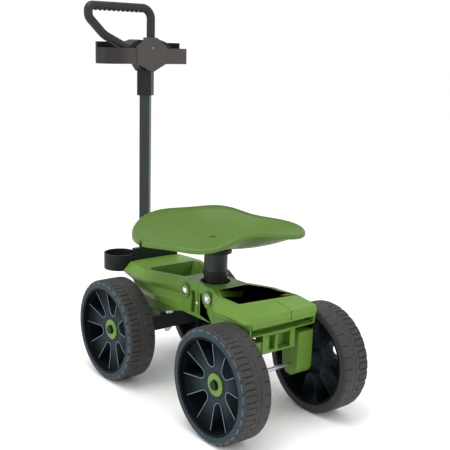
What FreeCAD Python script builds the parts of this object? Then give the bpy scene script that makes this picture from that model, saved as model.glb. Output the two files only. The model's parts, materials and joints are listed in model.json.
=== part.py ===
import FreeCAD, Part
import math
import os
import re
import Sketcher
from FreeCAD import Placement, Rotation, Vector

# Rolling garden seat. +X points to the rear, +Y to the rider's right, +Z up. The origin is on
# the floor, midway between the axles and on the middle plane. All sizes are in millimetres.

SIZES = {
    # wheels
    "wheel_radius": 127, "wheel_width": 74, "wheel_face": 180.6, "axle_reach": 214.5,
    "drum_outer": 106.7, "drum_inner": 101.5, "hub_recess": 27.5, "rim_recess": 14,
    "web_thickness": 5, "hub_radius": 28, "barrel_radius": 17, "bush_radius": 8,
    "window_end": 52, "window_radius": 12, "window_flare": 26, "window_wall": 2.5,
    "window_depth": 60, "bead_height": 1.5, "ring_radius": 25, "ring_bore": 11.5,
    # axles
    "axle_radius": 4.75, "running_gap": 0.05, "axle_inset": 18, "cap_radius": 10,
    "spacer_radius": 9, "side_gap": 0.4, "cap_length": 10,
    # chassis
    "deck_level": 281, "skirt_level": 258, "belly_level": 200, "join_x": 3, "join_gap": 0.5,
    "waist_half": 54, "front_end": 261, "rear_end": 254, "skirt_half": 106, "tray_floor": 212,
    "bolt_pitch": 44, "bolt_level": 256.5, "bolt_radius": 4, "head_radius": 9.5,
    "boss_radius": 16, "keel_level": 166, "screw_level": 234.5, "bar_screw_level": 272,
    # steering
    "kingpin_radius": 6, "pin_reach": 198, "beam_half": 96, "beam_bottom": 112, "beam_top": 150,
    "tube_side": 25.4, "tube_wall": 1.6, "column_x": 307, "tube_top": 796,
    "socket_side": 36,
    "socket_bottom": 699, "holder_bottom": 778, "holder_top": 817, "holder_rear": 280,
    "holder_front": 340, "holder_left": 138, "holder_right": 108, "holder_wall": 4,
    "grip_radius": 11, "grip_level": 914, "grip_left": 169, "grip_right": 8, "grip_x": 296,
    # cup holder and crossbar
    "cup_radius": 40.5, "cup_bore": 37.5, "cup_bottom": 257, "cup_top": 298,
    "cup_x": 300, "cup_y": 81, "bar_bottom": 262, "bar_top": 312, "bar_front": 273,
    # seat
    "stem_radius": 24, "stem_bore": 20, "stem_top": 329, "stem_foot": 26, "collar_level": 297,
    "sleeve_radius": 28, "sleeve_top": 351, "spindle_radius": 10, "seat_level": 366,
    "seat_turn": 50, "seat_wall": 4, "rim_depth": 12, "rim_mean": 416, "notch_width": 16,
}

doc = FreeCAD.newDocument("rolling_garden_seat")
sheet = doc.addObject("Spreadsheet::Sheet", "Dim")
for row, (alias, number) in enumerate(SIZES.items(), 1):
    sheet.set("A%d" % row, alias)
    sheet.set("B%d" % row, str(number))
    sheet.setAlias("B%d" % row, alias)
doc.recompute()

nodes = {}


# ---------------------------------------------------------------- helpers

def full(text):
    """An expression with the sheet's name put before every alias."""
    return re.sub(r"[a-z]+(_[a-z]+)+", r"Dim.\g<0>", str(text))


def size(text):
    """The value of an expression in millimetres."""
    return float(sheet.evalExpression(full(text)))


def bind(obj, **sizes):
    """Tie properties of an object to expressions over the sheet."""
    for name, text in sizes.items():
        setattr(obj, name, size(text))
        obj.setExpression(name, full(text))


def place(obj, at, turn=None):
    """Put an object at a point of three expressions, turned by a Rotation."""
    point = Vector(*[size(text) for text in at])
    obj.Placement = Placement(point, turn or Rotation())
    for letter, text in zip("xyz", at):
        obj.setExpression("Placement.Base." + letter, full(text))
    return obj


def node(label, obj):
    """Register an object as a named sub-part."""
    obj.Label = label
    nodes[label] = obj
    return obj


def block(name, low, high):
    """A box between two corners of expressions."""
    obj = doc.addObject("Part::Box", name)
    spans = ["(%s)-(%s)" % (b, a) for a, b in zip(low, high)]
    bind(obj, Length=spans[0], Width=spans[1], Height=spans[2])
    return place(obj, low)


TURNS = {
    "+Z": Rotation(),
    "-Z": Rotation(Vector(1, 0, 0), 180),
    "+X": Rotation(Vector(0, 1, 0), 90),
    "-X": Rotation(Vector(0, 1, 0), -90),
    "+Y": Rotation(Vector(1, 0, 0), -90),
    "-Y": Rotation(Vector(1, 0, 0), 90),
}


def rod(name, at, along, radius, length):
    """A cylinder from a point along one of the axes."""
    obj = doc.addObject("Part::Cylinder", name)
    bind(obj, Radius=radius, Height=length)
    return place(obj, at, TURNS[along])


def hexagon(name, at, along, radius, length):
    """A hexagonal prism, for nuts and bolt heads."""
    obj = doc.addObject("Part::Prism", name)
    obj.Polygon = 6
    bind(obj, Circumradius=radius, Height=length)
    return place(obj, at, TURNS[along])


def dome(name, at, along, radius, height):
    """The cap of a ball: a bolt's domed head of a given radius and height."""
    ball = "((%s)^2+(%s)^2)/(2*(%s))" % (radius, height, height)
    sign = -1 if along[0] == "+" else 1
    axis = "XYZ".index(along[1])
    centre = list(at)
    centre[axis] = "(%s)+(%d)*((%s)-(%s))" % (at[axis], sign, ball, height)
    sphere = doc.addObject("Part::Sphere", name + "_ball")
    bind(sphere, Radius=ball)
    place(sphere, centre)
    keep = rod(name + "_keep", at, along, "(%s)+1" % radius, "(%s)+1" % height)
    obj = doc.addObject("Part::Common", name)
    obj.Base = sphere
    obj.Tool = keep
    return obj


def fuse(name, *shapes):
    obj = doc.addObject("Part::MultiFuse", name)
    obj.Shapes = list(shapes)
    obj.Refine = True
    return obj


def cut(name, base, *tools):
    obj = doc.addObject("Part::Cut", name)
    obj.Base = base
    obj.Tool = tools[0] if len(tools) == 1 else fuse(name + "_tools", *tools)
    return obj


def group(name, *shapes):
    """Separate solids that share one node."""
    obj = doc.addObject("Part::Compound", name)
    obj.Links = list(shapes)
    return obj


def tube(name, at, along, outer, inner, length):
    """A cylinder with a bore right through it."""
    return cut(name, rod(name + "_outer", at, along, outer, length),
               rod(name + "_inner", at, along, inner, length))


def polygon(sketch, corners):
    """Draw a closed polygon whose corners are pairs of expressions."""
    points = [Vector(size(a), size(b), 0) for a, b in corners]
    count = len(points)
    for i in range(count):
        sketch.addGeometry(Part.LineSegment(points[i], points[(i + 1) % count]), False)
    for i in range(count):
        sketch.addConstraint(Sketcher.Constraint("Coincident", i, 2, (i + 1) % count, 1))
    for i, pair in enumerate(corners):
        for kind, text in zip(("DistanceX", "DistanceY"), pair):
            rule = Sketcher.Constraint(kind, -1, 1, i, 1, size(text))
            index = sketch.addConstraint(rule)
            sketch.setExpression("Constraints[%d]" % index, full(text))


def both_sides(half):
    """A half outline of (x, y) corners, closed by its mirror image across the middle plane."""
    return half + [(a, "-(%s)" % b) for a, b in reversed(half)]


PLANES = {
    "XY": (Rotation(), Vector(0, 0, 1)),
    "XZ": (Rotation(Vector(1, 0, 0), 90), Vector(0, 1, 0)),
    "YZ": (Rotation(Vector(1, 1, 1), 120), Vector(1, 0, 0)),
}


def prism(name, plane, corners, start, length):
    """A polygon in one of the planes, extruded from a start along the plane's normal."""
    turn, normal = PLANES[plane]
    sketch = doc.addObject("Sketcher::SketchObject", name + "_sketch")
    polygon(sketch, corners)
    at = ["0", "0", "0"]
    at["YZ XZ XY".split().index(plane)] = start
    place(sketch, at, turn)
    obj = doc.addObject("Part::Extrusion", name)
    obj.Base = sketch
    obj.DirMode = "Custom"
    obj.Dir = normal
    obj.Solid = True
    bind(obj, LengthFwd=length)
    return obj


def stack(name, sections):
    """A faceted solid through outlines at several levels, each (level, half outline)."""
    sketches = []
    for index, (level, half) in enumerate(sections):
        sketch = doc.addObject("Sketcher::SketchObject", "%s_outline_%d" % (name, index))
        polygon(sketch, both_sides(half))
        sketches.append(place(sketch, ("0", "0", level)))
    obj = doc.addObject("Part::Loft", name)
    obj.Sections = sketches
    obj.Solid = True
    obj.Ruled = True
    return obj


def origin_plane(body, role):
    return next(item for item in body.Origin.OriginFeatures if item.Role == role)


def body_sketch(body, name, role, offset="0"):
    """A sketch on one of a body's own origin planes, at an offset along its normal."""
    sketch = body.newObject("Sketcher::SketchObject", name)
    sketch.AttachmentSupport = [(origin_plane(body, role), "")]
    sketch.MapMode = "FlatFace"
    sketch.AttachmentOffset = Placement(Vector(0, 0, size(offset)), Rotation())
    sketch.setExpression("AttachmentOffset.Base.z", full(offset))
    return sketch


def revolve(body, name, kind, corners):
    """Turn a polygon of (radius, height) corners about the body's Z axis."""
    sketch = body_sketch(body, name + "_profile", "XZ_Plane")
    polygon(sketch, corners)
    obj = body.newObject("PartDesign::" + kind, name)
    obj.Profile = sketch
    obj.ReferenceAxis = (sketch, ["V_Axis"])
    obj.Angle = 360
    return obj


def around(body, feature, name, count):
    """Repeat a feature about the body's Z axis."""
    obj = body.newObject("PartDesign::PolarPattern", name)
    obj.Originals = [feature]
    obj.Axis = (origin_plane(body, "Z_Axis"), [""])
    obj.Angle = 360
    obj.Occurrences = count
    body.Tip = obj
    return obj


# ---------------------------------------------------------------- wheels

def window_outline(sketch, radius, flare):
    """A U-shaped window: a round end near the hub, and sides that flare to the rim."""
    centre = size("window_end")
    rim = math.sqrt(size("drum_inner+1") ** 2 - flare ** 2)
    lean = math.atan2(flare - radius, rim - centre)
    side = Vector(centre - radius * math.sin(lean), radius * math.cos(lean), 0)
    mirror = Vector(side.x, -side.y, 0)
    top = Vector(rim, flare, 0)
    bottom = Vector(rim, -flare, 0)
    arc = Part.Arc(side, Vector(centre - radius, 0, 0), mirror)
    sketch.addGeometry(arc, False)
    sketch.addGeometry(Part.LineSegment(mirror, bottom), False)
    sketch.addGeometry(Part.LineSegment(bottom, top), False)
    sketch.addGeometry(Part.LineSegment(top, side), False)


def wheel_centre(name):
    """The moulded centre: drum, dished web with six windows and their walls, and hub."""
    body = doc.addObject("PartDesign::Body", name)
    revolve(body, name + "_turned", "Revolution", [
        ("bush_radius", "-wheel_width"), ("barrel_radius", "-wheel_width"),
        ("barrel_radius", "-hub_recess-web_thickness-6"),
        ("hub_radius", "-hub_recess-web_thickness-2"),
        ("drum_inner", "-rim_recess-web_thickness"),
        ("drum_inner", "-wheel_width+1"), ("drum_outer", "-wheel_width+1"),
        ("drum_outer", "-1.5"), ("drum_inner", "-1.5"), ("drum_inner", "-rim_recess"),
        ("hub_radius", "-hub_recess+2"), ("bush_radius", "-hub_recess+2")])
    doc.recompute()
    start = body_sketch(body, name + "_wall_outline", "XY_Plane", "-window_depth")
    window_outline(start, size("window_radius+window_wall"), size("window_flare+window_wall"))
    walls = body.newObject("PartDesign::Pad", name + "_walls")
    walls.Profile = start
    bind(walls, Length="window_depth-rim_recess+2")
    doc.recompute()
    around(body, walls, name + "_six_walls", 6)
    doc.recompute()
    revolve(body, name + "_dish", "Groove", [
        ("hub_radius", "-hub_recess+2+bead_height"),
        ("drum_inner", "-rim_recess+bead_height"), ("drum_inner", "5"), ("hub_radius", "5")])
    doc.recompute()
    before = body.Shape.Volume
    opening = body_sketch(body, name + "_window_outline", "XY_Plane", "5")
    window_outline(opening, size("window_radius"), size("window_flare"))
    window = body.newObject("PartDesign::Pocket", name + "_window")
    window.Profile = opening
    bind(window, Length="wheel_width+20")
    doc.recompute()
    around(body, window, name + "_six_windows", 6)
    doc.recompute()
    if body.Shape.Volume > before - 1000:
        raise RuntimeError(name + " has no windows")
    return body


def tyre(name):
    """The tread band, with bevelled shoulders."""
    body = doc.addObject("PartDesign::Body", name)
    revolve(body, name + "_turned", "Revolution", [
        ("drum_outer", "0"), ("wheel_radius-3", "0"), ("wheel_radius", "-3"),
        ("wheel_radius", "-wheel_width+3"), ("wheel_radius-3", "-wheel_width"),
        ("drum_outer", "-wheel_width")])
    return body


def wheel(side, end, phase):
    """One wheel's four pieces. side is -1 left or +1 right, end is -1 front or +1 rear."""
    prefix = "%s_%s" % ("front" if end < 0 else "rear", "left" if side < 0 else "right")
    turn = TURNS["-Y" if side < 0 else "+Y"].multiply(Rotation(Vector(0, 0, 1), phase))
    at = ("%d*axle_reach" % end, "%d*wheel_face" % side, "wheel_radius")
    pieces = {
        "_wheel_centre": wheel_centre(prefix + "_centre"),
        "_tyre": tyre(prefix + "_tread"),
        "_hub_ring": tube(prefix + "_ring", ("0", "0", "-hub_recess+2"), "+Z",
                          "ring_radius", "ring_bore", "4"),
        "_hub_bush": tube(prefix + "_bearing", ("0", "0", "-wheel_width"), "+Z",
                          "bush_radius", "axle_radius+running_gap",
                          "wheel_width-hub_recess+2"),
    }
    for suffix, piece in pieces.items():
        place(piece, at, turn)
        node(prefix + suffix, piece)


WINDOW_PHASES = {(-1, 1): 46, (-1, -1): 18, (1, 1): 30, (1, -1): 5}
for (side, end), phase in WINDOW_PHASES.items():
    wheel(side, end, phase)


def axle(end, inner):
    """An axle rod, its two spacers and its two end caps, at the front (-1) or rear (+1)."""
    prefix = "front" if end < 0 else "rear"
    x = "%d*axle_reach" % end
    reach = "wheel_face-axle_inset"
    shaft = rod(prefix + "_shaft", (x, "-(%s)" % reach, "wheel_radius"), "+Y",
                "axle_radius", "2*(%s)" % reach)
    node(prefix + "_axle", shaft)
    spacers = []
    caps = []
    for side in (-1, 1):
        along = "-Y" if side < 0 else "+Y"
        tag = "%s_%s" % (prefix, "left" if side < 0 else "right")
        start = (x, "%d*(%s)" % (side, inner), "wheel_radius")
        spacers.append(tube(tag + "_spacer", start, along, "spacer_radius", "axle_radius",
                            "wheel_face-wheel_width-side_gap-(%s)" % inner))
        face = (x, "%d*(wheel_face-hub_recess+2+side_gap)" % side, "wheel_radius")
        shell = rod(tag + "_cap_shell", face, along, "cap_radius", "cap_length")
        bore = rod(tag + "_cap_bore", face, along, "axle_radius",
                   "hub_recess-2-side_gap-axle_inset")
        caps.append(cut(tag + "_cap", shell, bore))
    node(prefix + "_axle_spacers", group(prefix + "_spacers", *spacers))
    node(prefix + "_axle_caps", group(prefix + "_caps", *caps))


axle(1, "98")
axle(-1, "beam_half")


# ---------------------------------------------------------------- chassis

def bolt_boss(name, x):
    """A round boss on each side panel under a through bolt's head or nut."""
    return rod(name, (x, "-waist_half-3", "bolt_level"), "+Y", "boss_radius",
               "2*waist_half+6")


def bolt_hole(name, x):
    return rod(name, (x, "-waist_half-10", "bolt_level"), "+Y", "bolt_radius",
               "2*waist_half+20")


def panel_slots(name, slots):
    """Upright pockets in both side panels, each given by its two ends and its top."""
    pockets = []
    for index, (start, end, top) in enumerate(slots):
        for side in (-1, 1):
            low = (start, "%d*waist_half-13" % side, "belly_level+8")
            high = (end, "%d*waist_half+13" % side, top)
            pockets.append(block("%s_%d_%d" % (name, index, side + 1), low, high))
    return pockets


def screw_hole(name, radius):
    """The hole of the small screws at the joint between the two mouldings."""
    return rod(name, ("join_x", "-waist_half-5", "screw_level"), "+Y", radius,
               "2*waist_half+10")


FRONT_JOIN = "join_x-join_gap"
REAR_JOIN = "join_x+join_gap"
LEFT_BOLT = "join_x-bolt_pitch"
RIGHT_BOLT = "join_x+bolt_pitch"


def front_tray_moulding():
    """Front deck with its tray, wheel skirts, kingpin boss and keel."""
    deck = stack("front_deck", [
        ("deck_level", [("-front_end", "46"), ("-front_end+5", "76"), ("-172", "86"),
                        ("-78", "56"), ("-56", "50"), (FRONT_JOIN, "48")]),
        ("skirt_level+4", [("-front_end", "50"), ("-front_end+12", "skirt_half-4"),
                         ("-150", "skirt_half-4"), ("-74", "70"), ("-56", "waist_half"),
                         (FRONT_JOIN, "waist_half")]),
        ("skirt_level-18", [("-front_end+4", "50"), ("-front_end+22", "80"), ("-150", "68"),
                            ("-74", "50"), ("-56", "50"), (FRONT_JOIN, "waist_half")]),
        ("belly_level+22", [("-front_end+7", "46"), ("-front_end+26", "72"), ("-150", "76"),
                            ("-74", "60"), ("-56", "waist_half"), (FRONT_JOIN, "waist_half")]),
        ("belly_level", [("-front_end+10", "40"), ("-front_end+30", "56"), ("-150", "62"),
                         ("-74", "56"), ("-56", "waist_half"), (FRONT_JOIN, "waist_half")])])
    tray = stack("front_tray", [
        ("deck_level+1", [("-178", "68"), ("-158", "73"), ("-68", "38")]),
        ("tray_floor", [("-170", "42"), ("-154", "42"), ("-74", "32")])])
    under = block("front_under", ("-front_end+8", "-36", "belly_level-5"),
                  ("-184", "36", "deck_level-7"))
    boss = rod("kingpin_boss", ("-pin_reach", "0", "keel_level"), "+Z", "20",
               "deck_level-3-keel_level")
    web = prism("kingpin_web", "XZ", [
        ("-pin_reach", "keel_level+4"), ("-front_end+14", "belly_level-4"),
        ("-front_end+5", "skirt_level"), ("-front_end+5", "deck_level-5"),
        ("-pin_reach", "deck_level-5")], "-6", "12")
    keel = prism("front_keel", "XZ", [
        ("-44", "belly_level+2"), ("-174", "keel_level-1"), ("-240", "keel_level-1"),
        ("-front_end+12", "belly_level-8"), ("-front_end+12", "belly_level+4")], "-44", "88")
    keel_room = block("keel_room", ("-front_end+17", "-39", "keel_level-5"),
                      ("-60", "39", "belly_level+2"))
    socket = block("stem_room_front", ("-33", "-42", "belly_level-5"),
                   (FRONT_JOIN + "+1", "42", "deck_level-22"))
    well = rod("stem_well_front", ("join_x", "0", "belly_level"), "+Z", "36", "100")
    bore = rod("kingpin_bore", ("-pin_reach", "0", "keel_level-5"), "+Z", "kingpin_radius",
               "deck_level-14-keel_level+5")
    slots = panel_slots("front_slot", [("-19.5", "-4.5", "bolt_level+5")])
    pilots = [rod("front_pilot_%d" % index, ("-front_end-1", y, "bar_screw_level"), "+X",
                  "2.5", "5") for index, y in enumerate(("-30", "30"))]
    opened = cut("front_opened", fuse("front_solid", deck, keel, bolt_boss("front_boss", LEFT_BOLT)),
                 tray, under, keel_room, socket, well)
    whole = fuse("front_whole", opened, boss, web)
    return cut("front_moulding", whole, bore, bolt_hole("front_bolt_hole", LEFT_BOLT),
               screw_hole("front_screw_hole", "2.05"), *(slots + pilots))


def axle_leg(side):
    """A leg that holds the rear axle, round at its foot, on one side."""
    tag = "left" if side < 0 else "right"
    inner = "54" if side > 0 else "-98"
    foot = rod(tag + "_foot", ("axle_reach", inner, "wheel_radius"), "+Y", "24", "44")
    upright = prism(tag + "_upright", "XZ", [
        ("axle_reach-24", "wheel_radius"), ("axle_reach+24", "wheel_radius"),
        ("axle_reach+26", "belly_level+30"), ("axle_reach-36", "belly_level+30")], inner, "44")
    hollow = block(tag + "_leg_top", ("axle_reach-14", "%s-1" % inner, "belly_level+9"),
                   ("axle_reach+40", "%s+45" % inner, "belly_level+23"))
    return fuse(tag + "_leg_solid", foot, upright), hollow


def rear_tray_moulding():
    """Rear deck with its tray, sloping tail, ribbed back and the two axle legs."""
    deck = stack("rear_deck", [
        ("deck_level", [(REAR_JOIN, "48"), ("58", "50"), ("76", "60"), ("124", "80"),
                        ("200", "86"), ("rear_end-4", "90")]),
        ("skirt_level", [(REAR_JOIN, "waist_half"), ("62", "waist_half"), ("88", "74"),
                         ("132", "skirt_half-2"), ("232", "skirt_half-4"),
                         ("rear_end", "93")]),
        ("skirt_level-7", [(REAR_JOIN, "waist_half"), ("62", "waist_half"), ("88", "70"),
                           ("136", "skirt_half-4"), ("232", "skirt_half-5"),
                           ("rear_end-1", "92")]),
        ("skirt_level-8", [(REAR_JOIN, "waist_half"), ("62", "waist_half"), ("88", "64"),
                           ("138", "84"), ("226", "97"), ("rear_end-5", "95")]),
        ("belly_level+26", [(REAR_JOIN, "waist_half"), ("62", "waist_half"), ("88", "62"),
                            ("138", "80"), ("226", "96"), ("rear_end-7", "94")])])
    belly = stack("rear_belly", [
        ("belly_level+27", [(REAR_JOIN, "waist_half"), ("62", "waist_half"), ("88", "62"),
                            ("138", "78"), ("240", "74")]),
        ("belly_level", [(REAR_JOIN, "waist_half"), ("62", "waist_half"), ("88", "56"),
                         ("138", "64"), ("234", "66")])])
    slope = prism("tail_slope", "XZ", [
        ("198", "deck_level"), ("rear_end+8", "deck_level-13"),
        ("rear_end+8", "deck_level+10"), ("198", "deck_level+10")], "-130", "260")
    tray = stack("rear_tray", [
        ("deck_level+1", [("70", "42"), ("120", "69"), ("180", "71")]),
        ("tray_floor", [("76", "36"), ("118", "58"), ("172", "60")])])
    lip = block("tail_lip", ("rear_end-12", "-91", "skirt_level-12"),
                ("rear_end-1", "91", "skirt_level-6"))
    recess = block("back_recess", ("224", "-91", "belly_level+29"),
                   ("rear_end+5", "90", "skirt_level-12"))
    cells = [block("back_cell_left", ("228", "-36", "belly_level-12"),
                   ("rear_end+5", "-19", "belly_level+20")),
             block("back_cell_right", ("222", "-10", "belly_level-15"),
                   ("rear_end+5", "25", "belly_level+20")),
             block("back_gap_left", ("222", "-80", "belly_level-5"),
                   ("rear_end+5", "-54", "belly_level+23")),
             block("back_gap_right", ("222", "40", "belly_level-5"),
                   ("rear_end+5", "80", "belly_level+23"))]
    back = block("back_wall", ("206", "-54", "belly_level-19"), ("243", "40", "belly_level+27"))
    socket = block("stem_room_rear", (REAR_JOIN + "-1", "-42", "belly_level-5"),
                   ("39", "42", "deck_level-22"))
    well = rod("stem_well_rear", ("join_x", "0", "belly_level"), "+Z", "36", "100")
    under = block("rear_under", ("186", "-58", "belly_level-5"), ("218", "58", "deck_level-16"))
    legs = [axle_leg(side) for side in (-1, 1)]
    bore = rod("rear_axle_bore", ("axle_reach", "-100", "wheel_radius"), "+Y", "axle_radius",
               "200")
    slots = panel_slots("rear_slot", [("7.5", "10.5", "bolt_level+5"),
                                      ("15.5", "29.5", "bolt_level+5"),
                                      ("37", "43", "belly_level+32")])
    opened = cut("rear_opened",
                 fuse("rear_solid", deck, belly, back, lip, bolt_boss("rear_boss", RIGHT_BOLT)),
                 tray, slope, recess, socket, well, under, *cells)
    whole = fuse("rear_whole", opened, *[leg for leg, hollow in legs])
    hollows = [hollow for leg, hollow in legs]
    return cut("rear_moulding", whole, bore, bolt_hole("rear_bolt_hole", RIGHT_BOLT),
               screw_hole("rear_screw_hole", "2.05"), *(hollows + slots))


def stem_base():
    """The block between the two mouldings that carries the seat stem and takes the bolts."""
    core = block("base_core", ("join_x-35", "-41", "belly_level+2"),
                 ("join_x+35", "41", "deck_level-23"))
    ears = block("base_ears", ("join_x-35", "-41", "belly_level+2"),
                 ("join_x+35", "41", "belly_level+22"))
    bore = rod("base_bore", ("join_x", "0", "belly_level-5"), "+Z", "stem_radius", "100")
    return cut("base_block", fuse("base_solid", core, ears), bore,
               screw_hole("base_screw_hole", "2"))


def seat_stem():
    """The black stem: a tube with a thicker ribbed foot above the base block."""
    shaft = rod("stem_shaft", ("join_x", "0", "belly_level+2"), "+Z", "stem_radius",
                "stem_top-belly_level-2")
    foot = rod("stem_foot_ring", ("join_x", "0", "deck_level-23"), "+Z", "stem_foot",
               "collar_level-side_gap-deck_level+23")
    bore = rod("stem_bore_cut", ("join_x", "0", "belly_level"), "+Z", "stem_bore", "200")
    return cut("stem_body", fuse("stem_solid", shaft, foot), bore)


def through_bolts():
    """Two long bolts across the chassis, with domed heads on the left, washers and nuts."""
    bolts = []
    washers = []
    nuts = []
    for tag, x in (("a", LEFT_BOLT), ("b", RIGHT_BOLT)):
        head_at = (x, "-waist_half-5", "bolt_level")
        shank = rod("shank_" + tag, head_at, "+Y", "bolt_radius", "2*waist_half+15")
        head = dome("head_" + tag, head_at, "-Y", "head_radius", "5")
        bolts.append(fuse("bolt_" + tag, shank, head))
        for side in (-1, 1):
            at = (x, "%d*(waist_half+3)" % side, "bolt_level")
            along = "-Y" if side < 0 else "+Y"
            washers.append(tube("washer_%s_%d" % (tag, side + 1), at, along, "head_radius+2",
                                "bolt_radius", "2"))
        nut_at = (x, "waist_half+5", "bolt_level")
        nut = hexagon("nut_solid_" + tag, nut_at, "+Y", "8", "6")
        nuts.append(cut("nut_" + tag, nut, rod("nut_bore_" + tag, nut_at, "+Y",
                                               "bolt_radius", "6")))
    node("chassis_bolts", group("chassis_bolt_pair", *bolts))
    node("chassis_washers", group("chassis_washer_set", *washers))
    node("chassis_nuts", group("chassis_nut_pair", *nuts))


node("front_tray_moulding", front_tray_moulding())
node("rear_tray_moulding", rear_tray_moulding())
node("stem_base", stem_base())
node("seat_stem", seat_stem())
through_bolts()


def screw(name, at, along, radius, length, shank):
    """A pan-head screw: its head stands on the point, its shank runs the other way."""
    back = {"+": "-", "-": "+"}[along[0]] + along[1]
    head = dome(name + "_head", at, along, radius, "%s/2" % radius)
    return fuse(name, head, rod(name + "_shank", at, back, shank, length))


def front_crossbar():
    """The black bar that stands across the front of the deck."""
    bar = block("bar_body", ("-bar_front", "-60", "bar_bottom"), ("-front_end", "74", "bar_top"))
    holes = [rod("bar_hole_%d" % index, ("-bar_front-1", y, "bar_screw_level"), "+X", "2.5", "20")
             for index, y in enumerate(("-30", "30"))]
    return cut("bar", bar, *holes)


def cup_holder():
    """A round cup holder, with a foot that meets the end of the crossbar."""
    centre = ("-cup_x", "-cup_y", "cup_bottom")
    wall = rod("cup_wall", centre, "+Z", "cup_radius", "cup_top-cup_bottom")
    foot = block("cup_foot", ("-bar_front-6", "-86", "bar_bottom+4"),
                 ("-front_end", "-60", "cup_top-6"))
    bore = rod("cup_bore_cut", ("-cup_x", "-cup_y", "cup_bottom+4"), "+Z", "cup_bore", "100")
    drain = rod("cup_drain", ("-cup_x", "-cup_y", "cup_bottom-5"), "+Z", "6", "20")
    seat = block("cup_bar_seat", ("-bar_front", "-60", "bar_bottom-1"),
                 ("-front_end", "74", "bar_top+1"))
    return cut("cup", fuse("cup_solid", wall, foot), bore, drain, seat)


def front_screws():
    """Screws through the crossbar into the deck."""
    places = [("-bar_front", y, "bar_screw_level") for y in ("-30", "30")]
    return group("front_screw_set", *[
        screw("front_screw_%d" % index, at, "-X", "4.5", "14", "2.5")
        for index, at in enumerate(places)])


node("front_crossbar", front_crossbar())
node("cup_holder", cup_holder())
node("crossbar_screws", front_screws())
node("stem_screws", group("stem_screw_pair", *[
    screw("stem_screw_%d" % side, ("join_x", "%d*waist_half" % side, "screw_level"),
          "-Y" if side < 0 else "+Y", "4", "20", "2")
    for side in (-1, 1)]))

node("kingpin", rod("kingpin_shank", ("-pin_reach", "0", "beam_bottom-14"), "+Z",
                    "kingpin_radius", "deck_level-beam_bottom"))
nut_level = "beam_bottom-side_gap-8"
nut = hexagon("kingpin_nut_solid", ("-pin_reach", "0", nut_level), "+Z", "11", "8")
node("kingpin_nut", cut("kingpin_nut_cut", nut, rod("kingpin_nut_bore",
     ("-pin_reach", "0", nut_level), "+Z", "kingpin_radius", "8")))


# ---------------------------------------------------------------- steering

def steering_beam():
    """The beam under the kingpin, with axle bosses and a tongue that carries the handle."""
    beam = prism("beam_body", "YZ", [
        ("-beam_half", "beam_bottom"), ("beam_half", "beam_bottom"),
        ("beam_half", "beam_top-8"), ("60", "beam_top"), ("-60", "beam_top"),
        ("-beam_half", "beam_top-8")], "-axle_reach-20", "axle_reach-pin_reach+36")
    tongue = prism("beam_tongue", "XZ", [
        ("-column_x-22", "beam_bottom+4"), ("-axle_reach", "beam_bottom+4"),
        ("-axle_reach", "beam_top"), ("-column_x-22", "beam_top-6")], "-20", "40")
    post = prism("beam_post", "XY", [
        ("-column_x-socket_side*0.7071", "0"), ("-column_x", "-socket_side*0.7071"),
        ("-column_x+socket_side*0.7071", "0"), ("-column_x", "socket_side*0.7071")],
        "beam_bottom+4", "70")
    pin_bore = rod("beam_pin_bore", ("-pin_reach", "0", "beam_bottom-5"), "+Z",
                   "kingpin_radius+running_gap", "60")
    axle_bore = rod("beam_axle_bore", ("-axle_reach", "-100", "wheel_radius"), "+Y",
                    "axle_radius", "200")
    return cut("beam", fuse("beam_solid", beam, tongue, post), pin_bore, axle_bore,
               column("beam_socket", "tube_side", "beam_bottom+14", "90"),
               rod("beam_bolt_hole", ("-column_x-30", "0", "168"), "+X", "3", "60"))


def column(name, across, start, length):
    """A square bar on the handle's axis, standing on its corner towards the front."""
    reach = "(%s)*0.70711" % across
    return prism(name, "XY", [
        ("-column_x-%s" % reach, "0"), ("-column_x", "-%s" % reach),
        ("-column_x+%s" % reach, "0"), ("-column_x", reach)], start, length)


def handle_tube():
    """The square steel tube, set on its corner."""
    outer = column("tube_outer", "tube_side", "beam_bottom+14", "tube_top-beam_bottom-14")
    inner = column("tube_inner", "tube_side-2*tube_wall", "beam_bottom", "tube_top")
    holes = [rod("tube_hole_%d" % index, ("-column_x-30", "0", level), "+X", "3", "60")
             for index, level in enumerate(("168", "732"))]
    return cut("tube_cut", outer, inner, *holes)


def tube_bolts():
    """The cross bolts that hold the tube in the beam's post and in the handle's socket."""
    return group("tube_bolt_pair", *[
        rod("tube_bolt_%d" % index, ("-column_x-24", "0", level), "+X", "3", "48")
        for index, level in enumerate(("168", "732"))])


def handle_socket():
    """The sleeve on top of the tube, flaring into the core of the tool holder."""
    sleeve = column("socket_sleeve", "socket_side", "socket_bottom", "holder_bottom-socket_bottom")
    core = block("socket_core", ("-holder_front+holder_wall", "-34", "holder_bottom"),
                 ("-holder_rear-holder_wall", "34", "holder_top+20"))
    flare = prism("socket_flare", "YZ", [
        ("-20", "760"), ("20", "760"), ("34", "holder_bottom+1"), ("-34", "holder_bottom+1")],
        "-column_x-16", "32")
    room = column("socket_room", "tube_side", "socket_bottom-5", "tube_top-socket_bottom+5")
    hole = rod("socket_hole", ("-column_x-30", "0", "732"), "+X", "3", "60")
    return cut("socket", fuse("socket_solid", sleeve, core, flare), room, hole)


def holder_loop(name, inset, start, length):
    """The tool holder's outline from above: square on the right, round on the left."""
    front = "-holder_front+%s" % inset
    rear = "-holder_rear-%s" % inset
    middle = "-(holder_front+holder_rear)/2"
    radius = "(holder_front-holder_rear)/2-%s" % inset
    left = "-holder_left+(holder_front-holder_rear)/2"
    box = block(name + "_box", (front, left, start),
                (rear, "holder_right-%s" % inset, "(%s)+(%s)" % (start, length)))
    end = rod(name + "_end", (middle, left, start), "+Z", radius, length)
    return fuse(name, box, end)


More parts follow.
